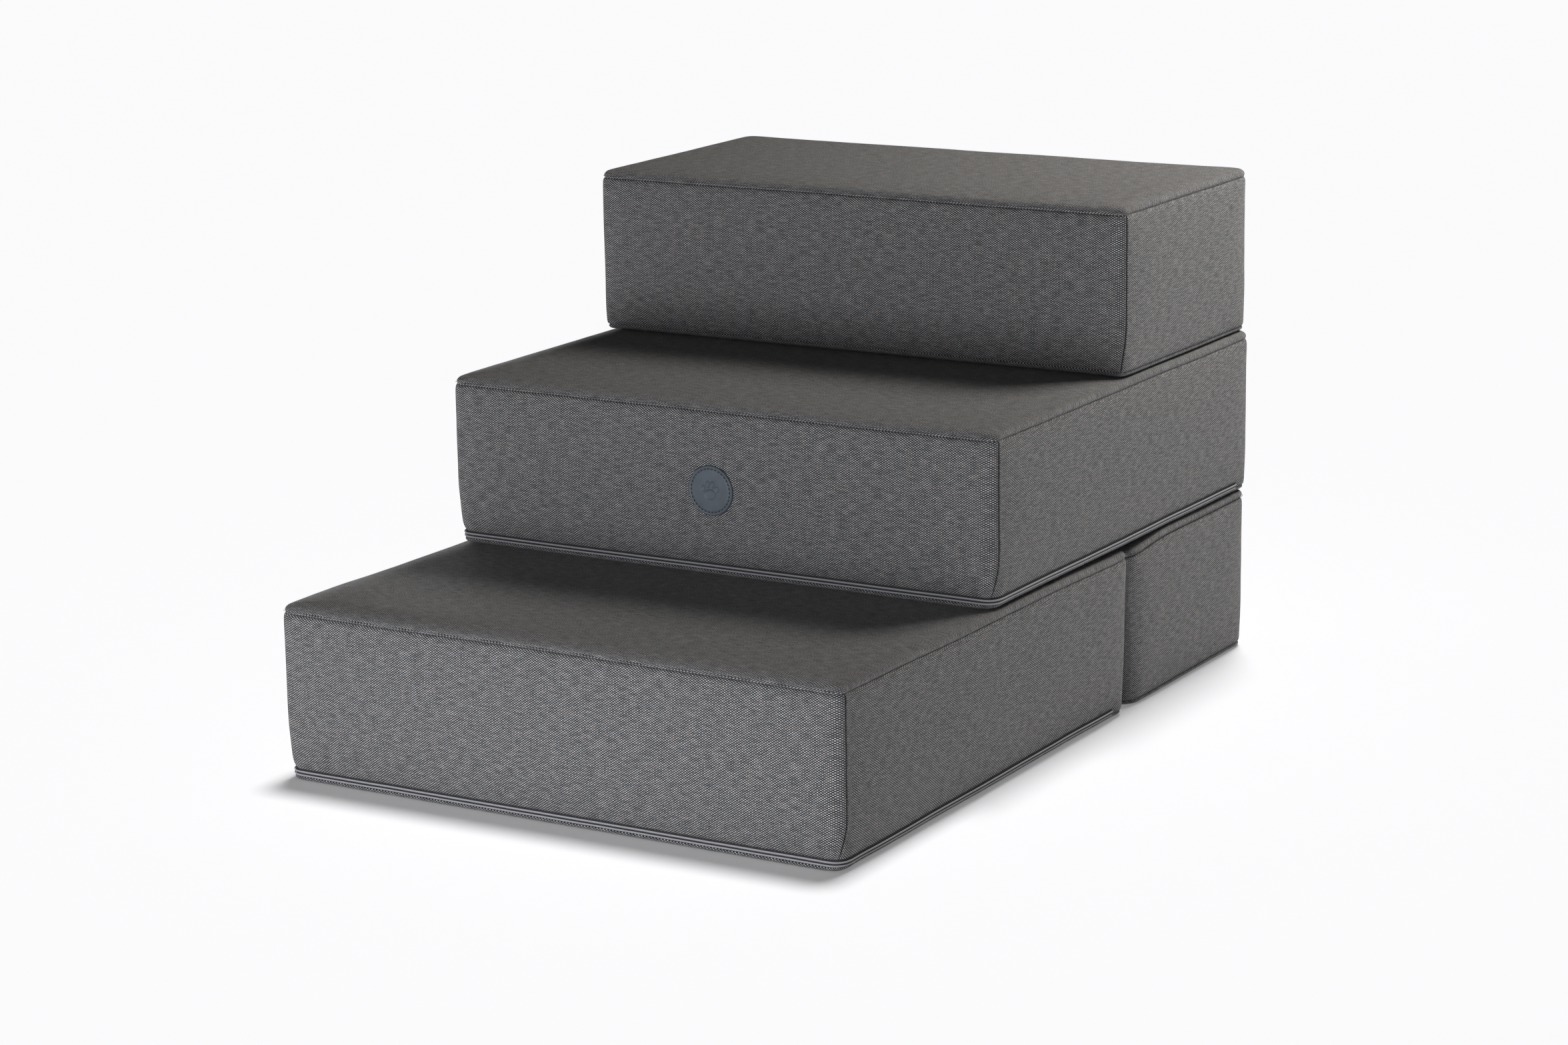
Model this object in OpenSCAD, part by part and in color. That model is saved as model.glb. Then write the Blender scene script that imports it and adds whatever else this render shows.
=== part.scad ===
// Three-step folding pet stairs: four foam blocks in zipped woven covers, joined by fabric hinges.
// Origin: middle of the footprint, on the floor. +X to the right, +Y to the rear, +Z up.

/* [Stairs] */
// Width of the stairs, side to side
stair_w = 540; // [420:5:660]
// Height of one step
step_rise = 150; // [120:1:180]
// Depth of one tread, front to rear
step_tread = 258; // [200:1:320]
// How much deeper than one tread the top block is, towards the front
top_extra = 10; // [0:1:16]
// Gap between blocks that rest on or beside each other
block_gap = 0.4; // [0.3:0.1:0.8]
// Radius of a block's upright corners where the side cloth wraps round without a seam
corner_r = 15; // [8:1:22]

/* [Cover] */
// Thickness of the woven cover with its lining
cover_t = 2; // [1.6:0.1:3]
// Height of the turned-down edge of a tread panel
tread_lip_h = 7; // [4:0.5:12]
// Height of the turned-up edge of a bottom panel
bottom_lip_h = 4; // [3:0.5:8]

/* [Hinges] */
// Diameter of the rolled edge of a fabric hinge
hinge_d = 2; // [1.6:0.1:2.6]
// Distance from a hinge's end to the side of the stairs
hinge_end = 20; // [15:1:60]
// Clearance round a hinge in the block that turns on it
hinge_clear = 0.3; // [0.2:0.05:0.5]

/* [Zips] */
// Width of one zip tape that shows
tape_w = 2; // [1.5:0.1:3]
// Width of the closed teeth between the tapes
coil_w = 1; // [0.8:0.1:1.6]
// How deep the teeth lie below the cover's face
coil_recess = 0.5; // [0.2:0.1:0.8]
// Distance from the end of an edge zip to the rear of its block
edge_zip_end = 28; // [24:1:60]
// Distance from the end of a back zip to the side of its block
back_zip_end = 50; // [30:1:120]
// Distance from the end of a zip to the middle of its parked slider
slider_park = 9; // [7:0.5:20]
// Length of a slider
slider_l = 11; // [9:0.5:13]
// Width of a slider
slider_w = 8; // [7:0.5:10]
// Thickness of a slider's plate
slider_t = 1.2; // [0.8:0.1:1.6]
// Height of the slider's plate over the tapes
slider_lift = 0.3; // [0.2:0.05:0.5]
// Diameter of the pin that a pull turns on
pin_d = 1.2; // [1:0.1:1.6]
// Radial clearance of a pull on its pin
pin_clear = 0.05; // [0.03:0.01:0.1]
// Length of a pull from its pin
pull_l = 22; // [16:1:32]
// Width of a pull
pull_w = 5; // [4.5:0.1:7]
// Thickness of a pull
pull_t = 1.2; // [1:0.1:1.6]

/* [Patch] */
// Diameter of the leather patch
patch_d = 44; // [30:1:60]
// Thickness of the leather patch
patch_t = 1.8; // [1.2:0.1:3]
// Depth of the pressed paw print
paw_depth = 0.5; // [0.2:0.1:0.8]
// Distance of the patch stitches from the patch's rim
stitch_in = 3; // [2:0.5:5]
// Number of stitches round the patch
stitch_n = 34; // [16:1:48]
// Length of one stitch
stitch_l = 2.2; // [1.4:0.1:3]
// Width of the sewing thread
thread_w = 0.7; // [0.4:0.1:1]

/* [Hidden] */
$fn = 48;

tread_colour = "#4c4d51";
face_colour = "#7d7e82";
side_colour = "#77736f";
bottom_colour = "#3a3a3d";
foam_colour = "#e8e2cc";
tape_colour = "#a7a6a4";
coil_colour = "#2b2b2d";
metal_colour = "#8d8f92";
leather_colour = "#5f6a78";
thread_colour = "#2f333a";

stair_d = 3 * step_tread;
rear_y = stair_d / 2;
half_gap = block_gap / 2;
zip_w = 2 * tape_w + coil_w;
hinge_l = stair_w - 2 * hinge_end;
stitch_r = patch_d / 2 - stitch_in;

// A block is [front y, rear y, bottom z, top z, front corner radius].
front_block = [-rear_y, rear_y - step_tread - half_gap, 0, step_rise - half_gap, 0];
base_block = [rear_y - step_tread + half_gap, rear_y, 0, step_rise - half_gap, corner_r];
middle_block = [rear_y - 2 * step_tread, rear_y, step_rise + half_gap, 2 * step_rise - half_gap, 0];
top_block = [rear_y - step_tread - top_extra, rear_y, 2 * step_rise + half_gap, 3 * step_rise, 0];

// A hinge axis runs along X at [y, z].
front_axis = [rear_y - step_tread, step_rise - half_gap];
middle_axis = [rear_y, step_rise];
top_axis = [rear_y, 2 * step_rise];

// Plan outline of a block, drawn in by inset: seamed front corners are square, wrapped ones round.
module plan(block, inset) {
    r = corner_r - inset;
    front_r = max(block[4] - inset, 0);
    half_w = stair_w / 2 - inset;
    front = block[0] + inset;
    rear = block[1] - inset;
    translate([-half_w, front + front_r]) square([2 * half_w, rear - front - r - front_r]);
    translate([r - half_w, front]) square([2 * (half_w - r), rear - front]);
    for (side = [-1, 1]) {
        translate([side * (half_w - r), rear - r]) circle(r);
        if (front_r > 0)
            translate([side * (half_w - r), front + front_r]) circle(front_r);
    }
}

// Wall of a block's cover in plan, from the depth outer below its face to the lining.
module wall(block, outer = 0) {
    difference() {
        plan(block, outer);
        plan(block, cover_t);
    }
}

module slab(z0, z1) {
    translate([0, 0, z0]) linear_extrude(z1 - z0) children();
}

// Space along a hinge axis: what turns on the hinge is kept clear of it.
module hinge_space(axis, clear = 0) {
    translate([-hinge_l / 2 - clear, axis[0], axis[1]])
        rotate([0, 90, 0]) cylinder(d = hinge_d + 2 * clear, h = hinge_l + 2 * clear);
}

module front_hinge_space() { hinge_space(front_axis, hinge_clear); }
module middle_hinge_space() { hinge_space(middle_axis, hinge_clear); }
module top_hinge_space() { hinge_space(top_axis, hinge_clear); }

// Foam inside a cover.
module foam_core(block) {
    slab(block[2] + cover_t, block[3] - cover_t) plan(block, cover_t);
}

// Top of a cover, with its edge turned down to the seam.
module tread_panel(block) {
    difference() {
        slab(block[3] - tread_lip_h, block[3]) plan(block, 0);
        slab(block[3] - tread_lip_h - 1, block[3] - cover_t) plan(block, cover_t);
    }
}

// Bottom of a cover, with its edge turned up to the zip or the seam.
module bottom_panel(block) {
    difference() {
        slab(block[2], block[2] + bottom_lip_h) plan(block, 0);
        slab(block[2] + cover_t, block[2] + bottom_lip_h + 1) plan(block, cover_t);
    }
}

// Front of a cover, from the seam or zip at z0 up to the tread panel.
module face_panel(block, z0) {
    translate([-stair_w / 2, block[0], z0])
        cube([stair_w, cover_t, block[3] - tread_lip_h - z0]);
}

// Cloth that wraps round the sides and rear of a cover, and round the front where it has no face panel.
module wrap_panel(block) {
    difference() {
        slab(block[2] + bottom_lip_h, block[3] - tread_lip_h) wall(block);
        if (block[4] == 0)
            translate([-stair_w, block[0] - 1, block[2]])
                cube([2 * stair_w, cover_t + 1, step_rise]);
    }
}

// Room that an edge zip takes along the front and both sides of a block.
module edge_zip_room(block) {
    translate([-stair_w, block[0] - 1, block[2]])
        cube([2 * stair_w, block[1] - block[0] - edge_zip_end + 1, bottom_lip_h + zip_w]);
}

// One strip of an edge zip, from z0 to z0 + h above the bottom panel's edge.
module edge_zip_strip(block, z0, h, outer = 0) {
    z = block[2] + bottom_lip_h + z0;
    intersection() {
        slab(z, z + h) wall(block, outer);
        edge_zip_room(block);
    }
}

// One strip of a straight zip across the rear of a block, from z0 to z0 + h above its middle.
module back_zip_strip(block, z0, h, outer = 0) {
    translate([back_zip_end - stair_w / 2, block[1] - cover_t, (block[2] + block[3]) / 2 + z0])
        cube([stair_w - 2 * back_zip_end, cover_t - outer, h]);
}

// Slot that a back zip takes in the rear of a block.
module back_zip_room(block) {
    translate([back_zip_end - stair_w / 2, block[1] - cover_t - 1,
               (block[2] + block[3] - zip_w) / 2])
        cube([stair_w - 2 * back_zip_end, cover_t + 2, zip_w]);
}

// Places a slider or pull on the left end of an edge zip: it opens towards the front.
module on_edge_zip(block) {
    translate([-stair_w / 2, block[1] - edge_zip_end - slider_park,
               block[2] + bottom_lip_h + zip_w / 2])
        rotate([90, 0, -90]) children();
}

// Places a slider or pull on the right end of a back zip: it opens towards the left.
module on_back_zip(block) {
    translate([stair_w / 2 - back_zip_end - slider_park, block[1], (block[2] + block[3]) / 2])
        rotate([90, 0, 180]) children();
}

// Flat bar with round ends along X, centred, drawn in plan.
module bar(l, w) {
    square([l - w, w], center = true);
    for (end = [-1, 1])
        translate([end * (l - w) / 2, 0]) circle(d = w);
}

knuckle_d = pin_d + 2 * pin_clear + 1.2;
pin_z = slider_lift + slider_t + knuckle_d / 2 + 0.1;
knuckle_w = 2.8;
lug_w = 0.8;
lug_in = knuckle_w / 2 + 0.1;

// Slider with its plate over the tapes, two lugs and the pin for the pull. It slides along +X.
module slider() {
    slab(slider_lift, slider_lift + slider_t) bar(slider_l, slider_w);
    for (side = [-1, 1])
        translate([-knuckle_d / 2, side * (lug_in + lug_w / 2) - lug_w / 2, slider_lift + slider_t])
            cube([knuckle_d, lug_w, pin_z + pin_d / 2 + 0.3 - slider_lift - slider_t]);
    translate([0, -lug_in, pin_z])
        rotate([-90, 0, 0]) cylinder(d = pin_d, h = 2 * lug_in);
}

// Pull on the slider's pin, lying along +X.
module pull() {
    neck_l = knuckle_d / 2 + 1.2;
    difference() {
        union() {
            translate([0, -knuckle_w / 2, pin_z])
                rotate([-90, 0, 0]) cylinder(d = knuckle_d, h = knuckle_w);
            translate([0, -knuckle_w / 2, pin_z - pull_t / 2])
                cube([neck_l + pull_w / 2, knuckle_w, pull_t]);
            slab(pin_z - pull_t / 2, pin_z + pull_t / 2)
                translate([(neck_l + pull_l) / 2, 0]) bar(pull_l - neck_l, pull_w);
        }
        translate([0, -knuckle_w, pin_z])
            rotate([-90, 0, 0]) cylinder(d = pin_d + 2 * pin_clear, h = 2 * knuckle_w);
        translate([pull_l - pull_w / 2, 0, pin_z - pull_t])
            cylinder(d = pull_w / 2, h = 2 * pull_t);
    }
}

// Middle of the front of the middle block, facing forwards: +X right, +Y up, +Z outwards.
module on_middle_face() {
    translate([0, middle_block[0], (middle_block[2] + middle_block[3]) / 2])
        rotate([90, 0, 0]) children();
}

// Paw print drawn inside a circle of radius r: one broad pad under four toes.
module paw(r) {
    translate([0, -0.28 * r]) circle(0.30 * r);
    for (side = [-1, 1]) {
        translate([side * 0.22 * r, -0.38 * r]) circle(0.20 * r);
        translate([side * 0.56 * r, 0.14 * r]) circle(0.15 * r);
        translate([side * 0.22 * r, 0.42 * r]) circle(0.17 * r);
    }
}

module front_foam_core() { color(foam_colour) foam_core(front_block); }
module base_foam_core() { color(foam_colour) foam_core(base_block); }
module middle_foam_core() { color(foam_colour) foam_core(middle_block); }
module top_foam_core() { color(foam_colour) foam_core(top_block); }

module front_tread_panel() {
    color(tread_colour) difference() {
        tread_panel(front_block);
        front_hinge_space();
    }
}

module base_tread_panel() {
    color(tread_colour) difference() {
        tread_panel(base_block);
        hinge_space(front_axis);
        hinge_space(middle_axis);
    }
}

module middle_tread_panel() {
    color(tread_colour) difference() {
        tread_panel(middle_block);
        hinge_space(top_axis);
    }
}

module top_tread_panel() { color(tread_colour) tread_panel(top_block); }

module front_face_panel() {
    color(face_colour) face_panel(front_block, front_block[2] + bottom_lip_h + zip_w);
}

module middle_face_panel() {
    color(face_colour) face_panel(middle_block, middle_block[2] + bottom_lip_h + zip_w);
}

module top_face_panel() { color(face_colour) face_panel(top_block, top_block[2] + bottom_lip_h); }

module front_wrap_panel() {
    color(side_colour) difference() {
        wrap_panel(front_block);
        edge_zip_room(front_block);
    }
}

module base_wrap_panel() {
    color(side_colour) difference() {
        wrap_panel(base_block);
        back_zip_room(base_block);
    }
}

module middle_wrap_panel() {
    color(side_colour) difference() {
        wrap_panel(middle_block);
        edge_zip_room(middle_block);
    }
}

module top_wrap_panel() {
    color(side_colour) difference() {
        wrap_panel(top_block);
        back_zip_room(top_block);
    }
}

module front_bottom_panel() { color(bottom_colour) bottom_panel(front_block); }
module base_bottom_panel() { color(bottom_colour) bottom_panel(base_block); }

module middle_bottom_panel() {
    color(side_colour) difference() {
        bottom_panel(middle_block);
        front_hinge_space();
        middle_hinge_space();
    }
}

module top_bottom_panel() {
    color(side_colour) difference() {
        bottom_panel(top_block);
        top_hinge_space();
    }
}

module front_zip_upper_tape() {
    color(tape_colour) edge_zip_strip(front_block, tape_w + coil_w, tape_w);
}

module front_zip_coil() { color(coil_colour) edge_zip_strip(front_block, tape_w, coil_w, coil_recess); }
module front_zip_lower_tape() { color(tape_colour) edge_zip_strip(front_block, 0, tape_w); }
module front_zip_slider() { color(metal_colour) on_edge_zip(front_block) slider(); }
module front_zip_pull() { color(metal_colour) on_edge_zip(front_block) pull(); }

module base_zip_upper_tape() { color(tape_colour) back_zip_strip(base_block, coil_w / 2, tape_w); }
module base_zip_coil() { color(coil_colour) back_zip_strip(base_block, -coil_w / 2, coil_w, coil_recess); }
module base_zip_lower_tape() { color(tape_colour) back_zip_strip(base_block, -zip_w / 2, tape_w); }
module base_zip_slider() { color(metal_colour) on_back_zip(base_block) slider(); }
module base_zip_pull() { color(metal_colour) on_back_zip(base_block) pull(); }

module middle_zip_upper_tape() {
    color(tape_colour) edge_zip_strip(middle_block, tape_w + coil_w, tape_w);
}

module middle_zip_coil() {
    color(coil_colour) edge_zip_strip(middle_block, tape_w, coil_w, coil_recess);
}

module middle_zip_lower_tape() { color(tape_colour) edge_zip_strip(middle_block, 0, tape_w); }
module middle_zip_slider() { color(metal_colour) on_edge_zip(middle_block) slider(); }
module middle_zip_pull() { color(metal_colour) on_edge_zip(middle_block) pull(); }

module top_zip_upper_tape() { color(tape_colour) back_zip_strip(top_block, coil_w / 2, tape_w); }
module top_zip_coil() { color(coil_colour) back_zip_strip(top_block, -coil_w / 2, coil_w, coil_recess); }
module top_zip_lower_tape() { color(tape_colour) back_zip_strip(top_block, -zip_w / 2, tape_w); }
module top_zip_slider() { color(metal_colour) on_back_zip(top_block) slider(); }
module top_zip_pull() { color(metal_colour) on_back_zip(top_block) pull(); }

module front_hinge_tape() { color(side_colour) hinge_space(front_axis); }
module middle_hinge_tape() { color(side_colour) hinge_space(middle_axis); }
module top_hinge_tape() { color(side_colour) hinge_space(top_axis); }

module patch() {
    color(leather_colour) on_middle_face() difference() {
        cylinder(d = patch_d, h = patch_t, $fn = 96);
        slab(patch_t - paw_depth, patch_t + 1) paw(stitch_r - thread_w);
    }
}

module patch_stitching() {
    color(thread_colour) on_middle_face()
        for (i = [0 : stitch_n - 1])
            rotate(i * 360 / stitch_n)
                translate([stitch_r - thread_w / 2, -stitch_l / 2, patch_t])
                    cube([thread_w, stitch_l, thread_w / 2]);
}

front_foam_core();
front_tread_panel();
front_face_panel();
front_wrap_panel();
front_bottom_panel();
front_zip_upper_tape();
front_zip_coil();
front_zip_lower_tape();
front_zip_slider();
front_zip_pull();
base_foam_core();
base_tread_panel();
base_wrap_panel();
base_bottom_panel();
base_zip_upper_tape();
base_zip_coil();
base_zip_lower_tape();
base_zip_slider();
base_zip_pull();
middle_foam_core();
middle_tread_panel();
middle_face_panel();
middle_wrap_panel();
middle_bottom_panel();
middle_zip_upper_tape();
middle_zip_coil();
middle_zip_lower_tape();
middle_zip_slider();
middle_zip_pull();
top_foam_core();
top_tread_panel();
top_face_panel();
top_wrap_panel();
top_bottom_panel();
top_zip_upper_tape();
top_zip_coil();
top_zip_lower_tape();
top_zip_slider();
top_zip_pull();
front_hinge_tape();
middle_hinge_tape();
top_hinge_tape();
patch();
patch_stitching();
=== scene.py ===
import math

import bmesh
import bpy
from mathutils import Matrix, Vector, noise
from mathutils.bvhtree import BVHTree


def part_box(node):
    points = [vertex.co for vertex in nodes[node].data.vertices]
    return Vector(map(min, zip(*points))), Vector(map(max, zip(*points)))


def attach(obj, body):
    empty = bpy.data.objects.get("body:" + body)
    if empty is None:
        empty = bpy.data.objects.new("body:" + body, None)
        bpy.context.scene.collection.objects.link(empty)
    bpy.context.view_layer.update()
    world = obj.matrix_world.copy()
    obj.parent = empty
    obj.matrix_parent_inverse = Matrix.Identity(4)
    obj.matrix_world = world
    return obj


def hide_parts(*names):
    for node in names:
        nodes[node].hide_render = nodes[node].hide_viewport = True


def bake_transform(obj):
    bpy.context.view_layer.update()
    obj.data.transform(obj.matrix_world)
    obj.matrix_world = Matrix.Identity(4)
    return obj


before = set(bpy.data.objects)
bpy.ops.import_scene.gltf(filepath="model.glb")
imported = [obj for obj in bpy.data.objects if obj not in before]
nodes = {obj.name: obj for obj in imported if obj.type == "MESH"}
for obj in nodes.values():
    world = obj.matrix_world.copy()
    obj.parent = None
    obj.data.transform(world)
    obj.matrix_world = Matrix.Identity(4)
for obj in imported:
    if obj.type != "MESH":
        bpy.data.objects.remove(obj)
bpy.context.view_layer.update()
scene = bpy.context.scene
scene.view_settings.view_transform = "Standard"
print("frame loaded:", len(nodes), "CAD nodes")

mm = 0.001

cameraSettings = {
    "place": (1.680, -2.856, 0.961),
    "heading": 30.551,  # degrees, turned to the left
    "down": 13.437,
    "roll": -0.774,
    "lens": 88.83,
    "sensor": 36.0,
}


def makeCamera(s):
    data = bpy.data.cameras.new("camera")
    data.lens = s["lens"]
    data.sensor_width = s["sensor"]
    camera = bpy.data.objects.new("camera", data)
    scene.collection.objects.link(camera)
    turn = (Matrix.Rotation(math.radians(s["heading"]), 4, "Z")
            @ Matrix.Rotation(math.radians(90 - s["down"]), 4, "X")
            @ Matrix.Rotation(math.radians(s["roll"]), 4, "Z"))
    camera.matrix_world = Matrix.Translation(s["place"]) @ turn
    scene.camera = camera


makeCamera(cameraSettings)


def linear(hexColour):
    channels = [int(hexColour[i:i + 2], 16) / 255 for i in (1, 3, 5)]
    return tuple(c / 12.92 if c <= 0.04045 else ((c + 0.055) / 1.055) ** 2.4
                 for c in channels) + (1.0,)


def addNode(tree, kind, settings=None, links=None):
    # settings go to the node's own properties or its unlinked inputs, links to its inputs
    node = tree.nodes.new(kind)
    for key, value in (settings or {}).items():
        if isinstance(key, str) and hasattr(node, key):
            setattr(node, key, value)
        else:
            node.inputs[key].default_value = value
    for key, socket in (links or {}).items():
        tree.links.new(socket, node.inputs[key])
    return node


colourA, colourB, colourOut = 6, 7, 2  # a Mix node's sockets when it mixes colours


def newMaterial(name, shader):
    material = bpy.data.materials.new(name)
    material.use_nodes = True
    tree = material.node_tree
    tree.nodes.clear()
    bsdf = addNode(tree, "ShaderNodeBsdfPrincipled", shader)
    addNode(tree, "ShaderNodeOutputMaterial", links={"Surface": bsdf.outputs[0]})
    return material, tree, bsdf


# Woven polyester: charcoal warp and light grey weft in a plain weave. The cloth's map is in metres,
# so the threads keep their real spacing on every panel.
weave = {
    "weftStep": 1.50 * mm,  # from one warp thread to the next
    "warpStep": 0.98 * mm,  # from one weft thread to the next
    "dark": "#1b1b1c",
    "darkSoft": "#323233",
    "light": "#c4c4c6",
    "lightSoft": "#8e8e90",
    "brown": "#7c675b",
    "brownShare": 0.22,
    "bumpDepth": 0.25 * mm,
    "drift": 0.9 * mm,  # how far the threads wander
}


def makeWovenMaterial(s):
    material, tree, bsdf = newMaterial("wovenPolyester", {
        "Roughness": 0.86, "Specular IOR Level": 0.25, "Sheen Weight": 0.10,
        "Sheen Roughness": 0.5})
    uv = addNode(tree, "ShaderNodeUVMap", {"uv_map": "cloth"}).outputs[0]
    # threads wander a little, so the rows are never quite straight
    wander = addNode(tree, "ShaderNodeTexNoise",
                     {"noise_dimensions": "2D", "Scale": 34.0, "Detail": 2.0}, {"Vector": uv})
    drift = addNode(tree, "ShaderNodeVectorMath",
                    {"operation": "MULTIPLY_ADD", 1: (s["drift"], s["drift"], 0)},
                    {0: wander.outputs["Color"], 2: uv})
    split = addNode(tree, "ShaderNodeSeparateXYZ", links={0: drift.outputs[0]})
    waves = []
    for axis, step in (("X", s["weftStep"]), ("Y", s["warpStep"])):
        turns = addNode(tree, "ShaderNodeMath", {"operation": "DIVIDE", 1: step / math.pi},
                        {0: split.outputs[axis]})
        waves.append(addNode(tree, "ShaderNodeMath", {"operation": "SINE"}, {0: turns.outputs[0]}))
    cell = addNode(tree, "ShaderNodeMath", {"operation": "MULTIPLY"},
                   {0: waves[0].outputs[0], 1: waves[1].outputs[0]}).outputs[0]
    over = addNode(tree, "ShaderNodeMapRange", {"interpolation_type": "SMOOTHSTEP",
                   "From Min": -0.05, "From Max": 0.55}, {"Value": cell}).outputs["Result"]
    # slubs: each thread has lighter and darker stretches along its own length
    yarns = []
    for stretch, soft, full in (((90, 900, 1), s["lightSoft"], s["light"]),
                                ((600, 70, 1), s["dark"], s["darkSoft"])):
        along = addNode(tree, "ShaderNodeMapping", {"Scale": stretch}, {"Vector": uv})
        slub = addNode(tree, "ShaderNodeTexNoise", {"noise_dimensions": "2D", "Scale": 1.0,
                       "Detail": 2.0}, {"Vector": along.outputs[0]})
        share = addNode(tree, "ShaderNodeMapRange", {"From Min": 0.35, "From Max": 0.65},
                        {"Value": slub.outputs["Fac"]})
        yarns.append(addNode(tree, "ShaderNodeMix", {"data_type": "RGBA",
                             colourA: linear(soft), colourB: linear(full)},
                             {"Factor": share.outputs["Result"]}).outputs[colourOut])
    cloth = addNode(tree, "ShaderNodeMix", {"data_type": "RGBA"},
                    {"Factor": over, colourA: yarns[1], colourB: yarns[0]})
    # a few reddish brown threads in the melange yarn
    melange = addNode(tree, "ShaderNodeTexNoise", {"noise_dimensions": "2D", "Scale": 130.0,
                      "Detail": 5.0, "Roughness": 0.7}, {"Vector": uv}).outputs["Fac"]
    tint = addNode(tree, "ShaderNodeMapRange", {"From Min": 0.56, "From Max": 0.72,
                   "To Max": s["brownShare"]}, {"Value": melange})
    warm = addNode(tree, "ShaderNodeMix", {"data_type": "RGBA", colourB: linear(s["brown"])},
                   {"Factor": tint.outputs["Result"], colourA: cloth.outputs[colourOut]})
    shade = addNode(tree, "ShaderNodeMapRange", {"From Min": 0.3, "From Max": 0.7,
                    "To Min": 0.86, "To Max": 1.14}, {"Value": melange})
    toned = addNode(tree, "ShaderNodeMix", {"data_type": "RGBA", "blend_type": "MULTIPLY",
                    "Factor": 1.0}, {colourA: warm.outputs[colourOut],
                                     colourB: shade.outputs["Result"]})
    tree.links.new(toned.outputs[colourOut], bsdf.inputs["Base Color"])
    height = addNode(tree, "ShaderNodeMath", {"operation": "ABSOLUTE"}, {0: cell})
    bump = addNode(tree, "ShaderNodeBump", {"Strength": 0.7, "Distance": s["bumpDepth"]},
                   {"Height": height.outputs[0]})
    tree.links.new(bump.outputs[0], bsdf.inputs["Normal"])
    return material


wovenPolyester = makeWovenMaterial(weave)

# Non-slip cloth: a tight black polyester knit with raised rubber dots, dull and dark.
nonSlip = {"cloth": "#1c1c1e", "dot": "#2a2a2b", "dotStep": 6 * mm, "dotRadius": 1.4 * mm,
           "dotHeight": 0.5 * mm}


def makeNonSlipMaterial(s):
    material, tree, bsdf = newMaterial("dottedNonSlipCloth", {"Roughness": 0.9,
                                                              "Specular IOR Level": 0.3})
    uv = addNode(tree, "ShaderNodeUVMap", {"uv_map": "cloth"}).outputs[0]
    middle = s["dotStep"] / 2
    step = addNode(tree, "ShaderNodeVectorMath",
                   {"operation": "MODULO", 1: (s["dotStep"], s["dotStep"], 1)}, {0: uv})
    away = addNode(tree, "ShaderNodeVectorMath",
                   {"operation": "DISTANCE", 1: (middle, middle, 0)}, {0: step.outputs[0]})
    dot = addNode(tree, "ShaderNodeMapRange", {"From Min": s["dotRadius"] * 1.15,
                  "From Max": s["dotRadius"] * 0.85}, {"Value": away.outputs["Value"]}).outputs[0]
    knit = addNode(tree, "ShaderNodeTexNoise", {"Scale": 1500.0, "Detail": 1.0}, {"Vector": uv})
    colour = addNode(tree, "ShaderNodeMix", {"data_type": "RGBA", colourA: linear(s["cloth"]),
                     colourB: linear(s["dot"])}, {"Factor": dot})
    tree.links.new(colour.outputs[colourOut], bsdf.inputs["Base Color"])
    height = addNode(tree, "ShaderNodeMath", {"operation": "MULTIPLY_ADD", 1: 0.3},
                     {0: knit.outputs["Fac"], 2: dot})
    bump = addNode(tree, "ShaderNodeBump", {"Strength": 0.8, "Distance": s["dotHeight"]},
                   {"Height": height.outputs[0]})
    tree.links.new(bump.outputs[0], bsdf.inputs["Normal"])
    return material


nonSlipCloth = makeNonSlipMaterial(nonSlip)


def makeRibbedMaterial(name, colour, ribStep, roughness, metallic=0.0):
    # fine ribs along a piece: woven tape, nylon coil, thread or tumbled metal, with painted shade
    # in the rib hollows
    material, tree, bsdf = newMaterial(name, {"Base Color": linear(colour), "Roughness": roughness,
                                              "Metallic": metallic})
    place = addNode(tree, "ShaderNodeTexCoord").outputs["Object"]
    split = addNode(tree, "ShaderNodeSeparateXYZ", links={0: place})
    along = addNode(tree, "ShaderNodeMath", {"operation": "ADD"},
                    {0: split.outputs["X"], 1: split.outputs["Y"]})
    turns = addNode(tree, "ShaderNodeMath", {"operation": "MULTIPLY", 1: 2 * math.pi / ribStep},
                    {0: along.outputs[0]})
    ribs = addNode(tree, "ShaderNodeMath", {"operation": "SINE"}, {0: turns.outputs[0]})
    grain = addNode(tree, "ShaderNodeTexNoise", {"Scale": 400.0, "Detail": 3.0}, {"Vector": place})
    height = addNode(tree, "ShaderNodeMath", {"operation": "ADD"},
                     {0: ribs.outputs[0], 1: grain.outputs["Fac"]}).outputs[0]
    bump = addNode(tree, "ShaderNodeBump", {"Strength": 0.5, "Distance": 0.1 * mm},
                   {"Height": height})
    tree.links.new(bump.outputs[0], bsdf.inputs["Normal"])
    # painted shade and painted highlight: the colour darkens in the hollows between ribs and
    # brightens on their crests; the grain noise adds random tone
    shade = addNode(tree, "ShaderNodeMapRange", {"From Min": -0.4, "From Max": 1.6,
                    "To Min": 0.78, "To Max": 1.12}, {"Value": height})
    toned = addNode(tree, "ShaderNodeMix", {"data_type": "RGBA", "blend_type": "MULTIPLY",
                    "Factor": 1.0, colourA: linear(colour)}, {colourB: shade.outputs["Result"]})
    tree.links.new(toned.outputs[colourOut], bsdf.inputs["Base Color"])
    return material


# Woven polyester tape, ribbed every 0.8 mm: a soft light grey edge beside the teeth.
zipTape = makeRibbedMaterial("wovenZipTape", "#a2a2a6", 0.8 * mm, 0.75)
# Herringbone polyester webbing behind the teeth: charcoal, ribbed every 1 mm.
backingWebbing = makeRibbedMaterial("backingWebbing", "#2b2b2e", 1.0 * mm, 0.8)
# Closed nylon coil, 1 mm pitch: dark, slightly glossy bumps.
nylonCoil = makeRibbedMaterial("nylonCoil", "#232325", 1.0 * mm, 0.45)
# Die-cast zinc, painted gunmetal: satin with fine tumbling marks.
gunmetalZinc = makeRibbedMaterial("gunmetalZinc", "#6d6e72", 0.35 * mm, 0.35, metallic=1.0)
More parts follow.
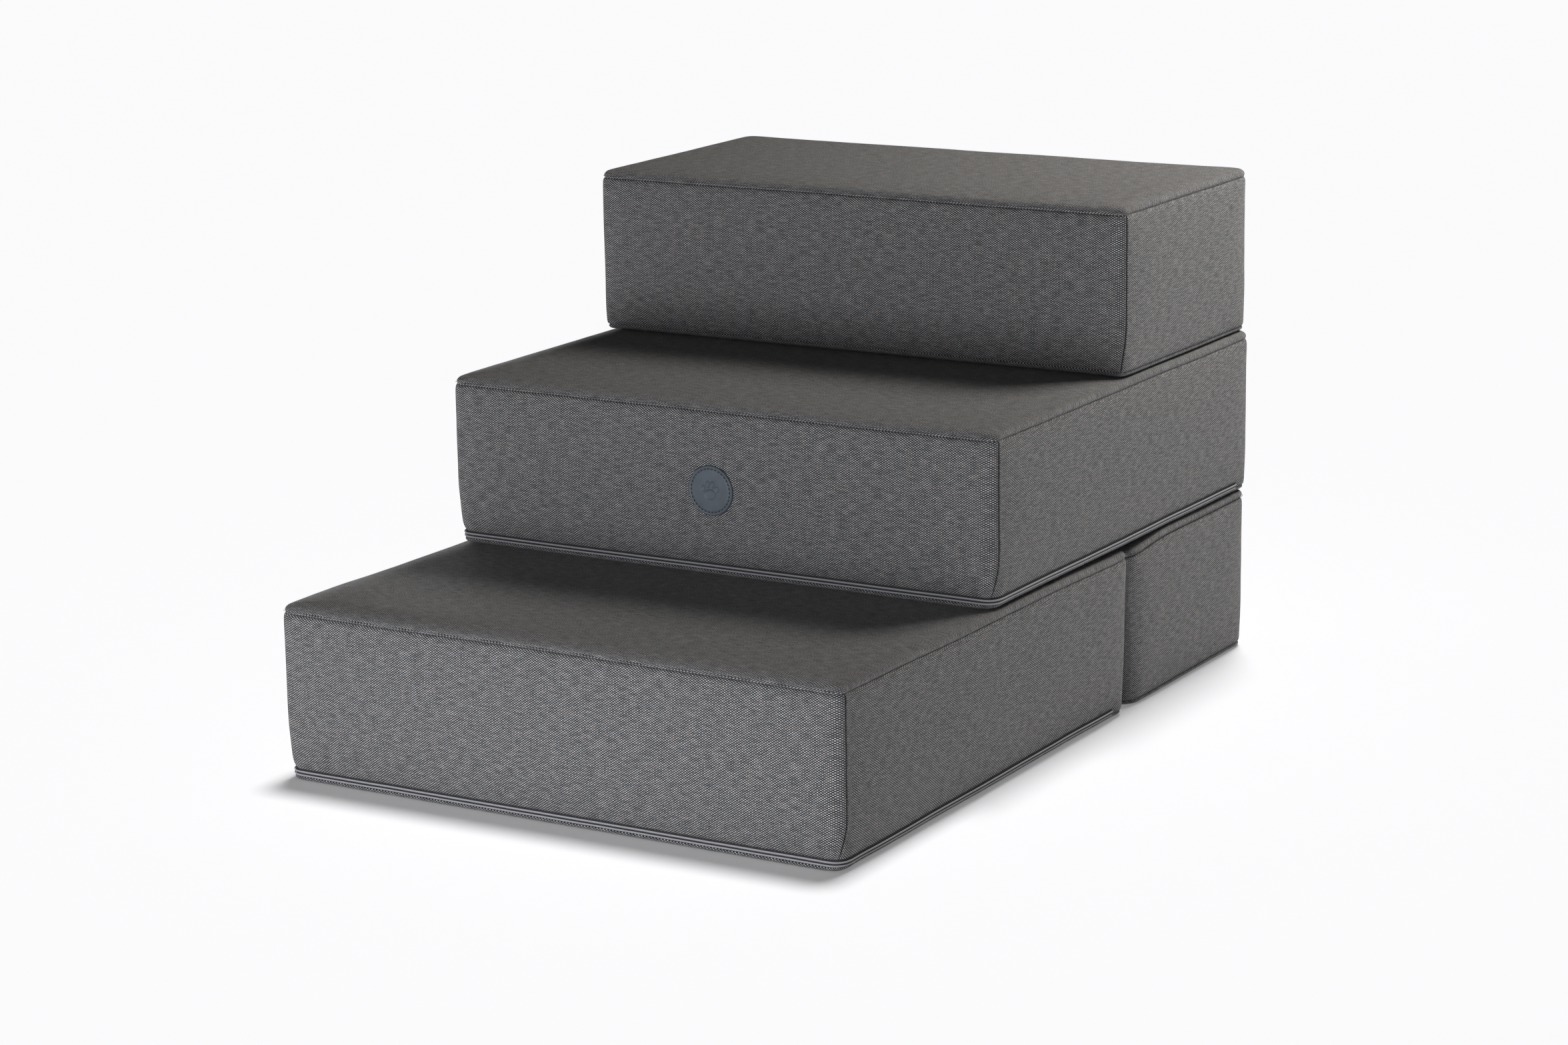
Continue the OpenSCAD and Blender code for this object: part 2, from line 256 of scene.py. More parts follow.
# Polyester sewing thread, two ply: dark charcoal with a fine twist.
sewingThread = makeRibbedMaterial("polyesterThread", "#26272a", 0.5 * mm, 0.6)


def makeLeatherMaterial():
    # Corrected-grain leather dyed slate blue: fine pebble, satin, paler where it is rubbed.
    material, tree, bsdf = newMaterial("slateLeather", {"Roughness": 0.52,
                                                        "Specular IOR Level": 0.45})
    place = addNode(tree, "ShaderNodeTexCoord").outputs["Object"]
    pebble = addNode(tree, "ShaderNodeTexVoronoi", {"Scale": 1400.0}, {"Vector": place})
    cloud = addNode(tree, "ShaderNodeTexNoise", {"Scale": 120.0, "Detail": 4.0}, {"Vector": place})
    colour = addNode(tree, "ShaderNodeMix", {"data_type": "RGBA", colourA: linear("#3c444c"),
                     colourB: linear("#525b64")}, {"Factor": cloud.outputs["Fac"]})
    tree.links.new(colour.outputs[colourOut], bsdf.inputs["Base Color"])
    bump = addNode(tree, "ShaderNodeBump", {"Strength": 0.35, "Distance": 0.12 * mm},
                   {"Height": pebble.outputs["Distance"]})
    tree.links.new(bump.outputs[0], bsdf.inputs["Normal"])
    return material


slateLeather = makeLeatherMaterial()


def makeFoamMaterial():
    # Polyurethane foam, cut by hot wire: open cells about 0.6 mm across, cream, dead matte.
    material, tree, bsdf = newMaterial("polyurethaneFoam", {"Roughness": 1.0,
                                                            "Specular IOR Level": 0.1})
    place = addNode(tree, "ShaderNodeTexCoord").outputs["Object"]
    cells = addNode(tree, "ShaderNodeTexVoronoi", {"Scale": 1600.0}, {"Vector": place})
    colour = addNode(tree, "ShaderNodeMix", {"data_type": "RGBA", colourA: linear("#cdc4a6"),
                     colourB: linear("#eee7cf")}, {"Factor": cells.outputs["Distance"]})
    tree.links.new(colour.outputs[colourOut], bsdf.inputs["Base Color"])
    bump = addNode(tree, "ShaderNodeBump", {"Strength": 0.5, "Distance": 0.3 * mm},
                   {"Height": cells.outputs["Distance"]})
    tree.links.new(bump.outputs[0], bsdf.inputs["Normal"])
    return material


polyurethaneFoam = makeFoamMaterial()
print("materials made")


def makePiece(name, bm, material, shading="smooth"):
    # shading: "smooth", "flat", or "ends flat", which keeps caps of many sides flat
    mesh = bpy.data.meshes.new(name)
    bm.to_mesh(mesh)
    bm.free()
    if shading != "flat":
        mesh.polygons.foreach_set("use_smooth", [shading == "smooth" or len(p.vertices) == 4
                                                 for p in mesh.polygons])
    mesh.materials.append(material)
    piece = bpy.data.objects.new(name, mesh)
    scene.collection.objects.link(piece)
    return piece


# Sizes that all four covers share.
cover = {
    "pitch": 9 * mm,  # spacing of the cloth's grid
    "nearEdge": [1.3, 2.6, 5.0, 9.0, 14.0, 20.0],  # closer rows by the edges, in mm
    "treadLip": 7 * mm,
    "bottomLip": 4 * mm,
    "zipWidth": 5 * mm,
    "zipEnd": 28 * mm,
    "backZipEnd": 50 * mm,
    "cloth": 1.2 * mm,
    "slack": 0.8 * mm,  # how far the cloth starts inside the CAD face, before it swells
    "swell": 3.4 * mm,  # the most that the foam pushes a side out
    "treadSwell": 1.0 * mm,
    "foamInset": 4.5 * mm,
}

# How the cloth is inflated before its caps are applied.
inflation = {
    "frames": 20,
    "quality": 4,
    "mass": 0.4,
    "stretch": 12,
    "shear": 6,
    "bending": 2,
    "pressure": 4,
    "holdWidth": 12 * mm,  # how far beside a seam or a zip the cloth is still held
}

# How each block's own cloth is shaped: radii, shifts and slopes in mm. puff pushes whole sides out.
blocks = {
    "front": {"body": "front_step", "edgeZip": True, "seed": 3, "corner": 11, "cornerLow": 14,
              "rearCorner": 12, "topFront": 11, "topSide": 8, "topRear": 7, "bottomFront": 3,
              "bottomSide": 9, "drawIn": 2.5, "rearLean": 6, "frontLean": 0, "topSink": 2.5,
              "puff": {"left": 0, "right": 2, "front": -1, "rear": 0, "top": 2.2}},
    "base": {"body": "rear_base", "edgeZip": False, "seed": 11, "corner": 20, "cornerLow": 22,
             "rearCorner": 15, "topFront": 8, "topSide": 5, "topRear": 7, "bottomFront": 6,
             "bottomSide": 5, "drawIn": 2, "rearLean": 0, "frontLean": 6, "topSink": 5.5,
             "puff": {"left": 0, "right": -1, "front": 0, "rear": 0, "top": 0}},
    "middle": {"body": "middle_step", "edgeZip": True, "seed": 17, "corner": 11, "cornerLow": 14,
               "rearCorner": 15, "topFront": 11, "topSide": 8, "topRear": 7, "bottomFront": 3,
               "bottomSide": 9, "drawIn": 2.5, "rearLean": 0, "frontLean": 0, "topSink": 0,
               "puff": {"left": 0, "right": 1.5, "front": 0, "rear": 0, "top": 0}},
    "top": {"body": "top_step", "edgeZip": False, "seed": 29, "corner": 9, "cornerLow": 9,
            "rearCorner": 16, "topFront": 11, "topSide": 8, "topRear": 9, "bottomFront": 10,
            "bottomSide": 6, "drawIn": 1, "rearLean": 0, "frontLean": 0, "topSink": 0,
            "puff": {"left": 0, "right": -2, "front": 1, "rear": 0.3, "top": 0}},
}


def measureBlock(name, b):
    b["name"] = name
    b["lo"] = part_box(name + "_bottom_panel")[0]
    b["hi"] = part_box(name + "_tread_panel")[1]
    b["mid"] = (b["lo"] + b["hi"]) / 2
    b["seamTop"] = b["hi"].z - cover["treadLip"]
    b["zipLow"] = b["lo"].z + cover["bottomLip"]
    b["zipHigh"] = b["zipLow"] + cover["zipWidth"]
    b["zipRear"] = b["hi"].y - cover["zipEnd"]
    b["backZipLow"] = b["mid"].z - cover["zipWidth"] / 2
    b["backZipHigh"] = b["mid"].z + cover["zipWidth"] / 2
    b["backZipSide"] = b["hi"].x - cover["backZipEnd"]


def smooth(t):
    t = min(max(t, 0.0), 1.0)
    return t * t * (3 - 2 * t)


def blend(a, b, t):
    return a + (b - a) * t


def roundPair(da, db, seamAngle=45.0):
    # moves a square corner onto a quarter circle; the corner itself lands at seamAngle
    if da <= 0 or db <= 0:
        return da, db
    turn = math.degrees(math.atan2(da, db))
    if turn <= 45:
        turn *= seamAngle / 45
    else:
        turn = seamAngle + (turn - 45) * (90 - seamAngle) / 45
    far = max(da, db)
    return far * math.sin(math.radians(turn)), far * math.cos(math.radians(turn))


# What all four blocks share in how the cloth lies on them.
form = {
    "cornerReach": 25 * mm,  # where an edge's end radius begins to pass into its side radius
    "seamHigh": 74.0,  # degrees round the front corner at which the seam lies near the top
    "seamLow": 34.0,  # and at the foot
    "drawRight": 0.5,  # share of a block's draw-in on the right
    "drawLeft": 0.15,  # and on the slider's side
    "slowWave": (11, 0.8),  # unevenness: turns in a metre, and height in mm
    "fineWave": (45, 0.25),
}


def formPoint(p, b):
    # from the cover's square pattern to its place on the stuffed block
    half = (b["hi"] - b["lo"]) / 2
    d = p - b["mid"]
    up = (d.z + half.z) / (2 * half.z)
    sideX, sideY = math.copysign(1, d.x), math.copysign(1, d.y)
    x, y, z = abs(d.x), abs(d.y), d.z
    low = 1 - smooth(up / 0.42)
    front = sideY < 0

    # the edges above and below: end and side radius meet in the corner
    fromSide = max(x - half.x + form["cornerReach"], 0)
    fromEnd = max(y - half.y + form["cornerReach"], 1e-9)
    turn = smooth(math.atan2(fromSide, fromEnd) * 2 / math.pi)
    if z > 0:
        edge = blend(b["topFront"] if front else b["topRear"], b["topSide"], turn)
    else:
        under = b["bottomSide"] if sideX > 0 else 3
        edge = blend(b["bottomFront"] if front else 3, under, turn)
    edge *= mm
    inset = min(half.x - x, half.y - y)
    out, tall = roundPair(edge - inset, abs(z) - half.z + edge)
    x *= 1 - cover["slack"] / half.x
    y *= 1 - cover["slack"] / half.y
    if inset < edge:
        x *= (half.x - edge + out) / (half.x - inset)
        y *= (half.y - edge + out) / (half.y - inset)
    z = math.copysign(half.z - edge + tall, z)
    half.x -= cover["slack"]
    half.y -= cover["slack"]

    # the upright corners: a seamed one rolls round from the front onto the side
    if front:
        corner = blend(b["corner"], b["cornerLow"], low) * mm
        seamAngle = blend(form["seamHigh"], form["seamLow"], 1 - smooth(up / 0.3))
        if b["name"] == "base":
            seamAngle = 45.0
    else:
        corner, seamAngle = b["rearCorner"] * mm, 45.0
    dx, dy = roundPair(x - half.x + corner, y - half.y + corner, seamAngle)
    x, y = (half.x - corner + dx) * sideX, (half.y - corner + dy) * sideY

    puff = b["puff"]
    x *= 1 + puff["right" if sideX > 0 else "left"] * mm / half.x
    y *= 1 + puff["front" if front else "rear"] * mm / half.y
    z += puff["top"] * mm * smooth(up) * (1 - smooth((y / half.y + 1) / 0.9))

    # the foot of the block draws in towards the zip, least on the slider's side
    pull = b["drawIn"] * mm * (1 - smooth(up / 0.36)) ** 1.4
    share = form["drawRight"]
    if sideX < 0:
        share = blend(form["drawLeft"], 1.0, smooth((-y / half.y - 0.85) / 0.15))
    x -= pull * x / half.x * share
    if y < 0:
        y += pull * 0.7 * (-y / half.y) ** 3
    # blocks lean apart below a fold between them
    if y > 0:
        y -= b["rearLean"] * mm * (1 - up) * smooth((y / half.y - 0.7) / 0.3)
    else:
        y += b["frontLean"] * mm * (1 - up) * smooth((-y / half.y - 0.4) / 0.6)
    # the tread sinks a little beside the fold
    if b["topSink"]:
        fold = y / half.y if b["rearLean"] else -y / half.y
        z -= b["topSink"] * mm * smooth((up - 0.5) / 0.5) * smooth((fold - 0.1) / 0.9) ** 2
    place = Vector((x, y, z)) + b["mid"]
    # slow unevenness of a hand-filled cover, calm where the block stands on something
    slow = noise.noise_vector(place * form["slowWave"][0] + Vector((3, 7, b["seed"])))
    fine = noise.noise_vector(place * form["fineWave"][0] + Vector((8, b["seed"], 1)))
    wave = slow * form["slowWave"][1] + fine * form["fineWave"][1]
    return place + Vector((wave.x, wave.y, wave.z * 0.6 * smooth(up / 0.1))) * mm


def gridStops(low, high, extra=()):
    near = [v * mm for v in cover["nearEdge"]]
    stops = [low + v for v in near] + [high - v for v in near]
    start, end = low + near[-1], high - near[-1]
    count = max(1, round((end - start) / cover["pitch"]))
    stops += [start + (end - start) * i / count for i in range(1, count)]
    stops = [v for v in stops if all(abs(v - other) > 0.9 * mm for other in extra)]
    return sorted(stops + list(extra))


def makePattern(b):
    # the cover as a square box, cut into a grid whose lines fall on the seams and zips
    bm = bmesh.new()
    bmesh.ops.create_cube(bm, size=1.0)
    bmesh.ops.scale(bm, vec=b["hi"] - b["lo"], verts=bm.verts)
    bmesh.ops.translate(bm, vec=b["mid"], verts=bm.verts)
    levels = [b["zipLow"], b["seamTop"]]
    depths, sides = [], []
    if b["edgeZip"]:
        levels.append(b["zipHigh"])
        depths.append(b["zipRear"])
    else:
        levels += [b["backZipLow"], b["backZipHigh"]]
        sides += [-b["backZipSide"], b["backZipSide"]]
    cuts = [(Vector((1, 0, 0)), gridStops(b["lo"].x, b["hi"].x, sides)),
            (Vector((0, 1, 0)), gridStops(b["lo"].y, b["hi"].y, depths)),
            (Vector((0, 0, 1)), gridStops(b["lo"].z, b["hi"].z, levels))]
    for normal, stops in cuts:
        for stop in stops:
            bmesh.ops.bisect_plane(bm, geom=bm.verts[:] + bm.edges[:] + bm.faces[:],
                                   plane_co=normal * stop, plane_no=normal, dist=1e-6)
    return bm


panelKinds = ["tread", "face", "wrap", "bottom", "zip"]


def sortPanels(bm, b):
    # says which panel each face belongs to, and lays out the cloth's map in metres
    panel = bm.faces.layers.int.new("panel")
    uv = bm.loops.layers.uv.new("cloth")
    lo, hi = b["lo"], b["hi"]
    bm.normal_update()
    for face in bm.faces:
        n, c = face.normal, face.calc_center_median()
        flat = abs(n.z) > 0.5
        if c.z > b["seamTop"]:
            kind = "tread"
        elif c.z < b["zipLow"]:
            kind = "bottom"
        elif b["edgeZip"] and c.z < b["zipHigh"] and c.y < b["zipRear"]:
            kind = "zip"
        elif (not b["edgeZip"] and n.y > 0.5 and abs(c.x) < b["backZipSide"]
              and b["backZipLow"] < c.z < b["backZipHigh"]):
            kind = "zip"
        elif n.y < -0.5 and b["name"] != "base":
            kind = "face"
        else:
            kind = "wrap"
        face[panel] = panelKinds.index(kind)
        for loop in face.loops:
            p = loop.vert.co
            drop = 0.0 if flat else (hi.z - p.z if kind == "tread" else p.z - lo.z)
            if kind in ("tread", "bottom"):
                place = (p.x + drop * round(n.x), p.y + drop * round(n.y))
            elif abs(n.x) > 0.5:
                place = (p.y if n.x > 0 else 2 * hi.y + 2 * hi.x - p.y, p.z)
            elif n.y > 0.5:
                place = (hi.y + hi.x - p.x, p.z)
            else:
                place = (p.x, p.z)
            loop[uv].uv = place


def seamHold(p, b):
    # 1 where a seam, a zip or the floor holds the cloth, 0 where it is free to swell
    near = sorted(min(p[i] - b["lo"][i], b["hi"][i] - p[i]) for i in range(3))[1]
    hold = 1 - smooth(near / inflation["holdWidth"])
    if p.z < b["lo"].z + 1e-5:
        hold = 1.0
    if b["edgeZip"]:
        hold = max(hold, 1 - smooth((p.z - b["zipHigh"]) / inflation["holdWidth"]))
    elif p.y > b["hi"].y - 1e-5:
        away = math.hypot(max(abs(p.z - b["mid"].z) - cover["zipWidth"] / 2, 0),
                          max(abs(p.x) - b["backZipSide"], 0))
        hold = max(hold, 1 - smooth(away / inflation["holdWidth"]))
    return hold


def swellCover(bm, b, s):
    # cloth simulation: the foam pushes the faces out between seams that hold
    hold = [seamHold(vert.co, b) for vert in bm.verts]
    limits = [cover["treadSwell"] if vert.co.z > b["hi"].z - 1e-5 else cover["swell"]
              for vert in bm.verts]
    b["pattern"] = [vert.co.copy() for vert in bm.verts]
    for vert in bm.verts:
        vert.co = formPoint(vert.co, b)
    mesh = bpy.data.meshes.new(b["name"] + "_cover")
    bm.to_mesh(mesh)
    bm.free()
    piece = bpy.data.objects.new(b["name"] + "_cover", mesh)
    scene.collection.objects.link(piece)
    start = [vert.co.copy() for vert in mesh.vertices]
    group = piece.vertex_groups.new(name="seams")
    for i, weight in enumerate(hold):
        group.add([i], weight, "REPLACE")
    cloth = piece.modifiers.new("cloth", "CLOTH")
    cloth.settings.quality = s["quality"]
    cloth.settings.mass = s["mass"]
    cloth.settings.tension_stiffness = s["stretch"]
    cloth.settings.compression_stiffness = s["stretch"]
    cloth.settings.shear_stiffness = s["shear"]
    cloth.settings.bending_stiffness = s["bending"]
    cloth.settings.vertex_group_mass = "seams"
    cloth.settings.use_pressure = True
    cloth.settings.uniform_pressure_force = s["pressure"]
    cloth.settings.effector_weights.gravity = 0
    cloth.point_cache.frame_start = 1
    cloth.point_cache.frame_end = s["frames"]
    for step in range(1, s["frames"] + 1):
        scene.frame_set(step)
    shaped = piece.evaluated_get(bpy.context.evaluated_depsgraph_get())
    moves = [vert.co - was for vert, was in zip(shaped.data.vertices, start)]
    piece.modifiers.remove(cloth)
    piece.vertex_groups.clear()
    scene.frame_set(1)
    for vert, move, limit in zip(mesh.vertices, moves, limits):
        if move.length > 1e-9:  # a soft cap keeps the crown round where the foam stops it
            vert.co += move.normalized() * limit * math.tanh(move.length / limit)
    print(b["name"], "cover swelled by up to",
          round(max(move.length for move in moves) * 1000, 1), "mm before its cap")
    return piece


def splitPanels(piece, b):
    # one object for each panel, its edges rolled in at the seams
    b["panels"] = {}
    for index, kind in enumerate(panelKinds):
        bm = bmesh.new()
        bm.from_mesh(piece.data)
        layer = bm.faces.layers.int["panel"]
        flat = bm.verts.layers.float_vector.new("flat")
        for vert, flatPlace in zip(bm.verts, b["pattern"]):
            vert[flat] = flatPlace
        bmesh.ops.delete(bm, geom=[f for f in bm.faces if f[layer] != index], context="FACES")
        if not bm.faces or kind == "zip":
            bm.free()
            continue
        rollEdges(bm, b, kind)
        panelPiece = makePiece(f"{b['name']}_{kind}_cloth", bm, wovenPolyester)
        finishPanel(panelPiece, b, kind)
        b["panels"][kind] = panelPiece


seams = {"roll": 2.2 * mm, "dip": 0.25 * mm, "ridge": 0.9 * mm}


def rollEdges(bm, b, kind):
    # the outermost row turns under at a seam; beside a front corner the side panel's edge stands up
    bm.normal_update()
    flat = bm.verts.layers.float_vector["flat"]
    rim = {v for e in bm.edges if e.is_boundary for v in e.verts}
    second = {e.other_vert(v) for v in rim for e in v.link_edges} - rim
    moves = [(v, v.normal * -seams["roll"]) for v in rim]
    for v in second:
        beside = v[flat].y - b["lo"].y < 2 * mm and v[flat].z < b["seamTop"] - 2 * mm
        rise = seams["ridge"] if kind == "wrap" and beside else -seams["dip"]
        moves.append((v, v.normal * rise))
    for vert, move in moves:
        vert.co += move


def finishPanel(panelPiece, b, kind):
    onFloor = kind == "bottom" and b["lo"].z < 1 * mm
    if onFloor:  # its turned-up edge is the cover's own cloth
        panelPiece.data.materials.append(nonSlipCloth)
        for face in panelPiece.data.polygons:
            face.material_index = 1 if face.normal.z < -0.8 else 0
    wall = panelPiece.modifiers.new("cloth thickness", "SOLIDIFY")
    wall.thickness = cover["cloth"]
    wall.offset = -1
    wall.edge_crease_rim = wall.edge_crease_outer = 1.0
    soft = panelPiece.modifiers.new("soft", "SUBSURF")
    soft.levels = soft.render_levels = 1
    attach(panelPiece, b["body"])
    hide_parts(f"{b['name']}_{kind}_panel")


def makeFoam(piece, b):
    # the foam core fills the cover to just inside its lining
    bm = bmesh.new()
    bm.from_mesh(piece.data)
    bm.normal_update()
    for vert, move in [(v, v.normal * -cover["foamInset"]) for v in bm.verts]:
        vert.co += move
    foam = makePiece(b["name"] + "_foam", bm, polyurethaneFoam)
    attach(foam, b["body"])
    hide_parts(b["name"] + "_foam_core")


# Zip pieces, laid along the formed edge of a cover.
zips = {
    "tapeAt": 1.5 * mm,  # from the middle of the zip to the middle of a tape
    "tapeWide": 0.85 * mm,  # half widths and half heights of the beads
    "tapeHigh": 0.55 * mm,
    "tapeSunk": 0.3 * mm,
    "coilWide": 0.8 * mm,
    "coilHigh": 0.5 * mm,
    "coilSunk": 0.9 * mm,
    "backingWide": 3.6 * mm,
    "backingHigh": 0.3 * mm,
    "backingSunk": 1.5 * mm,
}


def zipRun(piece, b):
    # the lower and upper edge of the zip's slot, as (place, outward) pairs in order along it
    mesh = piece.data
    rows = {}
    for vert, flat in zip(mesh.vertices, b["pattern"]):
        if b["edgeZip"]:
            key = round((flat.z - b["zipLow"]) / cover["zipWidth"], 3)
            if key not in (0, 1) or flat.y > b["zipRear"] + 1e-5:
                continue
            if flat.x < b["lo"].x + 1e-5:
                along = b["lo"].y - flat.y
            elif flat.x > b["hi"].x - 1e-5:
                along = flat.y + b["hi"].x - b["lo"].x - b["lo"].y
            elif flat.y < b["lo"].y + 1e-5:
                along = flat.x - b["lo"].x
            else:
                continue
        else:
            key = round((flat.z - b["backZipLow"]) / cover["zipWidth"], 3)
            if (key not in (0, 1) or flat.y < b["hi"].y - 1e-5
                    or abs(flat.x) > b["backZipSide"] + 1e-5):
                continue
            along = -flat.x
        rows.setdefault(key, []).append((along, vert.co.copy(), vert.normal.copy()))
    lower, upper = [sorted(rows[key], key=lambda row: row[0]) for key in (0, 1)]
    run = []
    for (_, low, lowOut), (_, high, highOut) in zip(lower, upper):
        across = (high - low).normalized()
        out = lowOut + highOut
        out = (out - across * out.dot(across)).normalized()
        run.append(((low + high) / 2, across, out))
    return run


def layBead(name, run, at, wide, high, lift, material, b):
    # an oval bead with closed ends, laid along the run
    count = len(run) - 1
    bm = bmesh.new()
    bmesh.ops.create_cone(bm, cap_ends=True, segments=10, radius1=1, radius2=1, depth=count)
    for i in range(1, count):
        bmesh.ops.bisect_plane(bm, geom=bm.verts[:] + bm.edges[:] + bm.faces[:],
                               plane_co=(0, 0, i - count / 2), plane_no=(0, 0, 1), dist=1e-5)
    for vert in bm.verts:
        middle, across, out = run[round(vert.co.z + count / 2)]
        vert.co = middle + across * (at + vert.co.x * wide) + out * (lift + vert.co.y * high)
    bmesh.ops.recalc_face_normals(bm, faces=bm.faces)
    bead = makePiece(f"{b['name']}_{name}_bead", bm, material, "ends flat")
    soft = bead.modifiers.new("soft", "SUBSURF")
    soft.levels = soft.render_levels = 1
    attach(bead, b["body"])
    return bead


def makeZip(piece, b):
    z = zips
    run = zipRun(piece, b)
    for name, side in (("zip_upper_tape", 1), ("zip_lower_tape", -1)):
        tape = layBead(name, run, side * z["tapeAt"], z["tapeWide"], z["tapeHigh"],
                       -z["tapeSunk"], zipTape, b)
        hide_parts(f"{b['name']}_{name}")
    coil = layBead("zip_coil", run, 0, z["coilWide"], z["coilHigh"], -z["coilSunk"], nylonCoil, b)
    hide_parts(b["name"] + "_zip_coil")
    layBead("zip_backing", run, 0, z["backingWide"], z["backingHigh"], -z["backingSunk"],
            backingWebbing, b)


# Topstitching: a row of short thread dashes on a panel's edge.
stitches = {
    "pitch": 3.2 * mm,
    "length": 2.1 * mm,
    "thick": 0.38 * mm,  # half the thread's width
    "above": 1.7 * mm,  # how far the row lies above the seam
    "endGap": 4 * mm,
}


def edgeRow(piece, b, level, side):
    # places along a panel's level row: "front" from left to right, or "right" from front to rear
    row = []
    for vert, flat in zip(piece.data.vertices, b["pattern"]):
        if abs(flat.z - level) > 1e-5:
            continue
        if side == "front" and flat.y < b["lo"].y + 1e-5:
            row.append((flat.x, vert.co.copy(), vert.normal.copy()))
        elif side == "right" and flat.x > b["hi"].x - 1e-5:
            row.append((flat.y, vert.co.copy(), vert.normal.copy()))
    return sorted(row, key=lambda entry: entry[0])


def sewRow(name, row, b, s):
    bm = bmesh.new()
    start, end = row[0][0] + s["endGap"], row[-1][0] - s["endGap"]
    count = int((end - start) / s["pitch"])
    index = 0
    for i in range(count):
        at = start + (i + 0.5) * (end - start) / count
        while row[index + 1][0] < at:
            index += 1
        (a0, p0, n0), (a1, p1, n1) = row[index], row[index + 1]
        t = (at - a0) / (a1 - a0)
        place = p0.lerp(p1, t) + Vector((0, 0, s["above"]))
        out = n0.lerp(n1, t)
        out = Vector((out.x, out.y, 0)).normalized()
        along = (p1 - p0).normalized()
        up = out.cross(along)
        turn = Matrix((along, up, out)).transposed().to_4x4()
        turn.translation = place
        shape = Matrix.Diagonal((s["length"] / 2, s["thick"], s["thick"] * 0.8, 1))
        bmesh.ops.create_icosphere(bm, subdivisions=1, radius=1.0, matrix=turn @ shape)
    thread = makePiece(name, bm, sewingThread)
    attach(thread, b["body"])


for name, settings in blocks.items():
    measureBlock(name, settings)
    pattern = makePattern(settings)
    sortPanels(pattern, settings)
    shell = swellCover(pattern, settings, inflation)
    splitPanels(shell, settings)
    makeFoam(shell, settings)
    makeZip(shell, settings)
    side = "right" if name == "base" else "front"
    sewRow(name + "_top_stitching", edgeRow(shell, settings, settings["seamTop"], side),
           settings, stitches)
    settings["shell"] = shell
    print(name, "block:", sum(len(p.data.polygons) for p in settings["panels"].values()), "faces")


def shellTree(b):
    mesh = b["shell"].data
    return BVHTree.FromPolygons([v.co for v in mesh.vertices],
                                [list(p.vertices) for p in mesh.polygons])


# Round leather patch on the middle step, stitched down near its rim, with a pressed paw print.
patch = {
    "radius": 22 * mm,
    "thick": 1.8 * mm,
    "wall": 1.1 * mm,  # how far the rim goes down into the cloth
    "rimDrop": 1.0 * mm,
    "rimWide": 1.2 * mm,
    "sunk": 0.15 * mm,
    "cells": 96,
    "stitchRadius": 19 * mm,
    "stitchCount": 34,
    "stitchSize": (1.15 * mm, 0.45 * mm, 0.42 * mm),  # half sizes
    "stitchSunk": 0.1 * mm,
    "grooveWide": 0.8 * mm,
    "groove": 0.35 * mm,
    "pawDepth": 0.55 * mm,
    "pad": (0.0, -3.4, 5.4, 4.3),  # middle and half sizes, in mm
    "toes": [(-6.6, 1.6, 1.9, 2.6), (-2.4, 5.4, 2.0, 2.8), (2.4, 5.4, 2.0, 2.8),
             (6.6, 1.6, 1.9, 2.6)],
}


def pressedPaw(x, z, s):
    # 1 inside a pad of the print, falling softly to 0 over its edge
    deep = 0.0
    for cx, cz, rx, rz in [s["pad"]] + s["toes"]:
        away = math.hypot((x / mm - cx) / rx, (z / mm - cz) / rz)
        deep = max(deep, 1 - smooth((away - 0.8) / 0.35))
    return deep


def onFace(tree, centre, x, z):
    # the place on the middle step's face at x, z from the patch's centre
    return tree.ray_cast(Vector((centre.x + x, centre.y - 0.05, centre.z + z)),
                         Vector((0, 1, 0)))[0]


def makePatch(s):
    b = blocks["middle"]
    lo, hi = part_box("patch")
    centre = (lo + hi) / 2
    tree = shellTree(b)
    bm = bmesh.new()
    bmesh.ops.create_grid(bm, x_segments=s["cells"], y_segments=s["cells"], size=1.0)
    for vert in bm.verts:  # the grid's squares are drawn round into rings
        x, z = vert.co.x, vert.co.y
        far = max(abs(x), abs(z))
        size = math.hypot(x, z)
        if size > 0:
            x, z = x * far / size, z * far / size
        away = far * s["radius"]
        x, z = x * s["radius"], z * s["radius"]
        high = s["thick"]
        high -= s["rimDrop"] * smooth((away - s["radius"] + s["rimWide"]) / s["rimWide"]) ** 2
        high -= s["groove"] * math.exp(-((away - s["stitchRadius"]) / s["grooveWide"]) ** 2)
        high -= s["pawDepth"] * pressedPaw(x, z, s)
        vert.co = onFace(tree, centre, x, z) + Vector((0, -high + s["sunk"], 0))
    rim = [e for e in bm.edges if e.is_boundary]
    wall = bmesh.ops.extrude_edge_only(bm, edges=rim)["geom"]
    low = [g for g in wall if isinstance(g, bmesh.types.BMVert)]
    bmesh.ops.translate(bm, vec=(0, s["wall"], 0), verts=low)
    bmesh.ops.contextual_create(bm, geom=[g for g in wall if isinstance(g, bmesh.types.BMEdge)])
    bmesh.ops.recalc_face_normals(bm, faces=bm.faces)
    disc = makePiece("leather_patch", bm, slateLeather, "ends flat")
    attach(disc, b["body"])
    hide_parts("patch")

    bm = bmesh.new()
    for i in range(s["stitchCount"]):
        turn = 2 * math.pi * i / s["stitchCount"]
        x, z = s["stitchRadius"] * math.cos(turn), s["stitchRadius"] * math.sin(turn)
        place = onFace(tree, centre, x, z)
        place.y += -s["thick"] + s["groove"] - s["stitchSunk"]
        shape = (Matrix.Translation(place) @ Matrix.Rotation(-turn - math.pi / 2, 4, "Y")
                 @ Matrix.Diagonal((*s["stitchSize"], 1)))
        bmesh.ops.create_icosphere(bm, subdivisions=2, radius=1.0, matrix=shape)
    ring = makePiece("patch_stitches", bm, sewingThread)
    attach(ring, b["body"])
    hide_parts("patch_stitching")


makePatch(patch)
print("patch sewn on")
